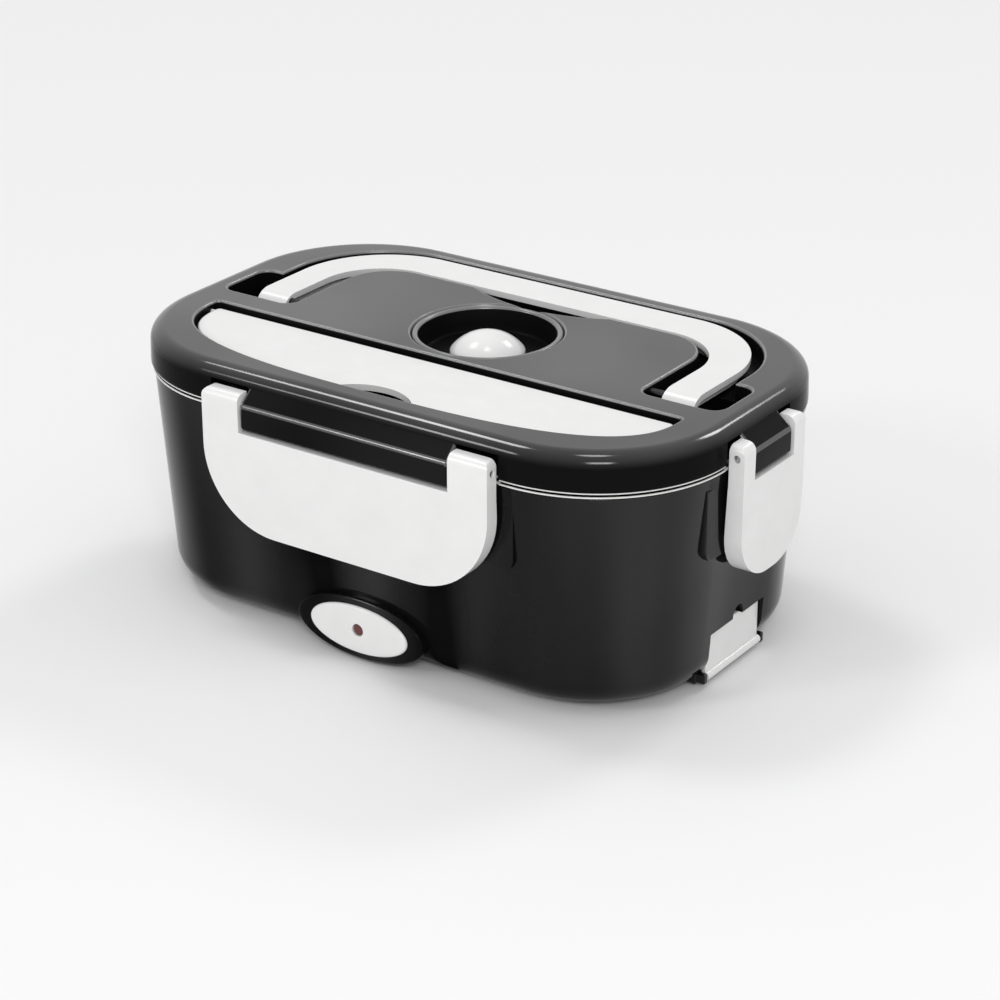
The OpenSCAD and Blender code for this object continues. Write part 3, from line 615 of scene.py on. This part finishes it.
# A still lighter copy of the black: painted highlight on the lips of the sunk places.
lip_painted_highlight = plastic("lip_painted_highlight_plastic", (0.15, 0.15, 0.152), 0.2, specular=(0.8, 1.0), waviness=0.02)
for finish in (sunk_painted_shade, edge_painted_highlight, lip_painted_highlight):
    lid_piece.data.materials.append(finish)
UPPER_EDGE_Z, SUNK_Z, LIP_Z = 84.5, 83.5, 94.05
flat_x, flat_y, flat_r = LID_X - LID_R, LID_Y - LID_R, LID_R - 6.5
for face in lid_piece.data.polygons:
    c = face.center / MM
    on_flat = math.hypot(max(0, abs(c.x) - flat_x), max(0, abs(c.y) - flat_y)) < flat_r
    # Below this height the lugs' rounded edges get painted shade instead of painted highlight.
    if face.material_index == PAINTED_EDGE_HIGHLIGHT and c.z < UPPER_EDGE_Z:
        face.material_index = PAINTED_SHADE
    # Painted shade in the sunk places, painted highlight on their lips.
    if on_flat and SUNK_Z < c.z < LID_TOP - 0.01:
        face.material_index = PAINTED_SHADE if c.z < LIP_Z else PAINTED_LIP_HIGHLIGHT

# Seal: a white silicone ring under the lid, whose two rounded lips show as a double line; the walls of the
# gap between them are painted black as shade. A steel sheet inside it closes the lid's underside.
SEAL_LOW, GAP_LOW, GAP_HIGH = 80.1, 80.72, 81.47
white_silicone = plastic("white_silicone", (0.84, 0.84, 0.83), 0.4, grain=300)
lips = [(7.0, SEAL_LOW), (1.0, SEAL_LOW), (0.6, 80.2), (0.5, 80.38), (0.6, 80.6), (0.9, GAP_LOW),
        (4.2, 80.74), (4.2, 81.44), (0.9, 81.46), (0.6, 81.6), (0.5, 81.8), (0.6, 82.0), (1.0, LID_LOW),
        (7.0, LID_LOW)]
seal = bmesh.new()
skin(seal, [ring(seal, lid_outline(inset), z) for inset, z in lips], closed=True)
seal_piece = finished("seal_ring_silicone", carved(seal, *turn_rooms), "lid",
                      white_silicone, "seal_ring")
# Painted shade: the walls of the gap between the lips get the darker copy of the lid's black.
seal_piece.data.materials.append(sunk_painted_shade)
for face in seal_piece.data.polygons:
    if GAP_LOW < face.center.z / MM < GAP_HIGH:
        face.material_index = 1
dress(liner_steel, "lid_inner")
for cutter in holes + turn_rooms:
    cutter.free()


# Latches: four white clips with a plain face, two ears that straddle the lid's lug, thin side walls
# and a hook inside. The front and back ones are long, the end ones short. Steel pins hinge them.
LATCH_LOW, LATCH_HIGH = 40.5, 89.2
NOTCH_Z, POCKET_Z = 76.0, 74.2
EAR_R, CROWN_R = 2.6, 3.0
FACE_T, WALL_T = 2, 1.8

# The side walls get narrower by this much from this height up to the pocket's top.
TAPER, TAPER_Z = 1.2, 45


def latch_face(half, lug, corner, top=None, inset=0.0):
    """Outline of a latch seen from outside, with the notch for the lug where no top is given."""
    low = arc(half - corner, LATCH_LOW + corner, corner - inset, 270, 360, 20)
    if top:
        return low + [(half - inset, top)] + mirrored(low + [(half - inset, top)])
    high = arc(half - EAR_R, LATCH_HIGH - EAR_R, EAR_R, 0, 90, 6)
    high += [(lug + 0.4, LATCH_HIGH), (lug + 0.4, NOTCH_Z)]
    return low + high + mirrored(high) + mirrored(low)


for name, (half, lug, hook, edge, out, corner, beside), way in LATCHES:
    face, back = -edge - out, -edge - 0.3
    crown_edge = arc(face + CROWN_R, LATCH_HIGH - CROWN_R, CROWN_R, 180, 90, 6)
    crown_edge += [(face + CROWN_R, 92), (face - 1, 92), (face - 1, LATCH_HIGH - CROWN_R)]
    crown = prism(crown_edge, -half - 1, half + 1, "X")
    above = block(-half - 1, half + 1, back, -edge + 2, POCKET_Z, 95)
    pocket = prism(latch_face(half, lug, corner, POCKET_Z, WALL_T), face + FACE_T, -edge + 2, "Y")
    bores = rod("X", 1.32, -half - 1, half + 1, face + LATCH_PIN_DEPTH, LATCH_PIN_Z)
    clip = carved(prism(latch_face(half, lug, corner), face, -edge + 1.0, "Y"), crown, above)
    for v in clip.verts:
        if v.co.y > (-edge + 0.9) * MM:
            v.co.y -= TAPER * MM * max(0.0, min(1.0, (v.co.z / MM - TAPER_Z) / (POCKET_Z - TAPER_Z)))
    clip = carved(soften(clip, 0.8, 4, angle=50), pocket, bores)
    for cutter in (crown, above, pocket, bores):
        cutter.free()
    catch = soften(block(-hook, hook, face + 1.5, -edge + 0.5, 54.6, 57.0), 0.3)
    finished("latch_" + name + "_clip", turned(gather(clip, catch), way), "latch_" + name,
             gloss_white, "latch_" + name)
    dress(pin_steel, "pins_" + name)

# Handle: a flat white U, a rounded plate that bends down at its two noses, with a narrower rib under it.
# It lies flush in its groove and swings up on two blackened steel pins through its legs.
HANDLE_TOP, RIB_TOP, HANDLE_LOW = 94.98, 93.4, 89.2
NOSE_Y, NOSE_Z = 1.2, 90.0
HANDLE_PIN_Y, HANDLE_PIN_Z = -1.6, 92.0

# The cutters lie across the whole handle and reach this far to each side.
REACH = 91
outer = [(90, -6.0)] + arc(54, 22, 36, 0, 90, 28)
inner = arc(53.6, 18.6, 24, 90, 0, 20) + [(77.6, -6.0)]
u_shape = outer + mirrored(outer) + mirrored(inner) + inner

# The bend rounds the plate over its noses, and the tuck hollows it from below.
bend = [(NOSE_Y + 7.0 * cosine(t), NOSE_Z + 5.0 * sine(t)) for t in range(90, 181, 9)]
over = prism([(NOSE_Y, 97)] + bend + [(-7, NOSE_Z), (-7, 97)], -REACH, REACH, "X")
tuck = [(NOSE_Y + 4.9 * cosine(t), NOSE_Z + 2.7 * sine(t)) for t in range(180, 89, -9)]
under = prism([(-3.7, 88)] + tuck + [(60, 92.7), (60, 88)], -REACH, REACH, "X")
plate = soften(carved(prism(u_shape, HANDLE_LOW, HANDLE_TOP), over, under), 0.75, 4, angle=50)
rib_end = block(-REACH, REACH, -7, -3.9, 88, 96)
finger_room = prism([(42.0, 88.0), (60.0, 88.0), (60.0, 92.8), (42.0, 92.8)], -56, 56, "X")
rib = carved(prism(grown(u_shape, -2.8), HANDLE_LOW, RIB_TOP), rib_end, finger_room)
rib = soften(rib, 0.5, 2, angle=50)
pin_room = rod("X", 1.56, -87.5, 87.5, HANDLE_PIN_Y, HANDLE_PIN_Z)
grip = gather(carved(plate, pin_room), carved(rib, pin_room))
for cutter in (over, under, rib_end, finger_room, pin_room):
    cutter.free()
finished("handle_grip", grip, "handle", gloss_white, "handle")
blackened_steel = brushed_steel("blackened_steel", (0.03, 0.03, 0.032), 0.4, (8, 8, 8))
dress(blackened_steel, "handle_pins")

# Spoon cover: a white lid in the shape of the recess, hinged along its straight side on two small pins,
# with a fingernail notch at the front. A steel spoon lies in the trough under it.
COVER_PIN_Y, COVER_PIN_Z, COVER_PIN_R = -24.4, 92.0, 0.75
NAIL_Y, NAIL_R = -69.4, 19.8
cover_edge = ((0.3, 90.9), (0.02, 91.2), (0.0, 92.3), (0.1, 92.65), (0.35, 92.95), (0.8, 93.1))
cover = bmesh.new()
skin(cover, [ring(cover, grown(dee(93.6, 34.8, -22.4), -inset), z) for inset, z in cover_edge])


def on_nail_notch(edge):
    """Whether both ends of an edge lie on the notch's curve."""
    away = [math.hypot(v.co.x, v.co.y - NAIL_Y * MM) - NAIL_R * MM for v in edge.verts]
    return all(abs(d) < 0.04 * MM for d in away)


nail = rod("Z", NAIL_R, 80, 100, 0, NAIL_Y, 128)
cover = soften(carved(cover, nail), 0.35, 3, angle=60, test=on_nail_notch)
nail.free()
hinge_pins = [rod("X", COVER_PIN_R, s * 92, s * 95.15, COVER_PIN_Y, COVER_PIN_Z, 24) for s in (-1, 1)]
finished("spoon_cover_panel", gather(cover, *hinge_pins), "spoon_cover", gloss_white,
         "spoon_cover")
dress(tray_steel, "spoon")

# Vent plug: a glossy white dome with a round collar on a stem, pushed through the hole in the well's
# floor, and pulled up a little to let steam out.
DOME_R, DOME_Z, DOME_EDGE = 16.3, 78.35, 0.9

# Radius and height up the stem, round the collar and over the dome.
stem_and_collar = [(4.0, 78.9), (4.0, 86.3), (12.6, 86.3), (12.9, 86.5), (13.0, 86.9), (12.98, 88.0)]
dome_angles = [DOME_EDGE * k / 16 for k in range(16, 0, -1)]
dome = [(DOME_R * math.sin(t), DOME_Z + DOME_R * math.cos(t)) for t in dome_angles]
plug = round_solid(stem_and_collar + dome + [(0.1, DOME_Z + DOME_R)], 72, WELL_Y)
finished("vent_plug_dome", plug, "vent_plug", gloss_white, "vent_plug")

# Studio: a plain pale floor, soft even light from the sky, a softbox at the right and four soft lamps far
# away above the left, the back, the top and the front.
PALENESS = 0.94
SKY_ON_PIECES, SKY_SEEN = 0.53, 1.0
floor_mesh = bmesh.new()
bmesh.ops.create_grid(floor_mesh, x_segments=1, y_segments=1, size=8)
floor_data = bpy.data.meshes.new("floor")
floor_mesh.to_mesh(floor_data)
floor_mesh.free()
floor = bpy.data.objects.new("floor", floor_data)
scene.collection.objects.link(floor)
pale = bpy.data.materials.new("pale_floor")
pale.use_nodes = True
pale_surface = pale.node_tree.nodes["Principled BSDF"].inputs
pale_surface["Base Color"].default_value = (PALENESS, PALENESS, PALENESS, 1)
pale_surface["Roughness"].default_value = 1
pale_surface["Specular IOR Level"].default_value = 0
floor.data.materials.append(pale)

# The sky is brighter where it is seen, straight, in a reflection or through a piece, than as a lamp.
world = bpy.data.worlds.new("studio")
scene.world = world
world.use_nodes = True
sky = world.node_tree.nodes["Background"]
sky.inputs["Color"].default_value = (1, 1, 1, 1)
path = added(world, "LightPath").outputs
seen = reckoned(world, "MAXIMUM", path["Is Camera Ray"], path["Is Glossy Ray"])
seen = reckoned(world, "MAXIMUM", seen, path["Is Transmission Ray"])
sky_level = ranged(world, seen, 0, 1, SKY_ON_PIECES, SKY_SEEN)
world.node_tree.links.new(sky_level, sky.inputs["Strength"])


def lamp(kind, name, power, place, target=(0, 0, 0)):
    """A lamp turned from its place towards a target."""
    light = bpy.data.lights.new(name, kind)
    light.energy = power
    holder = bpy.data.objects.new(name, light)
    holder.location = place
    holder.rotation_euler = (Vector(target) - Vector(place)).to_track_quat("-Z", "Y").to_euler()
    scene.collection.objects.link(holder)
    return light


softbox = lamp("AREA", "softbox_right", 15.0, (1.28, -1.63, 1.4), (0, 0, 0.08))
softbox.shape = "RECTANGLE"
softbox.size, softbox.size_y = 0.66, 0.52
for name, power, width, place in (("skylight_left", 0.4, 13, (-0.515, 0.03, 0.856)),
                                  ("skylight_back", 0.4, 13, (0.12, 0.74, 0.66)),
                                  ("skylight_top", 0.25, 12, (0.0, 0.0, 1.0)),
                                  ("skylight_front", 0.4, 12, (-0.515, -0.747, 0.418))):
    lamp("SUN", name, power, place).angle = math.radians(width)

scene.view_settings.view_transform = "Standard"
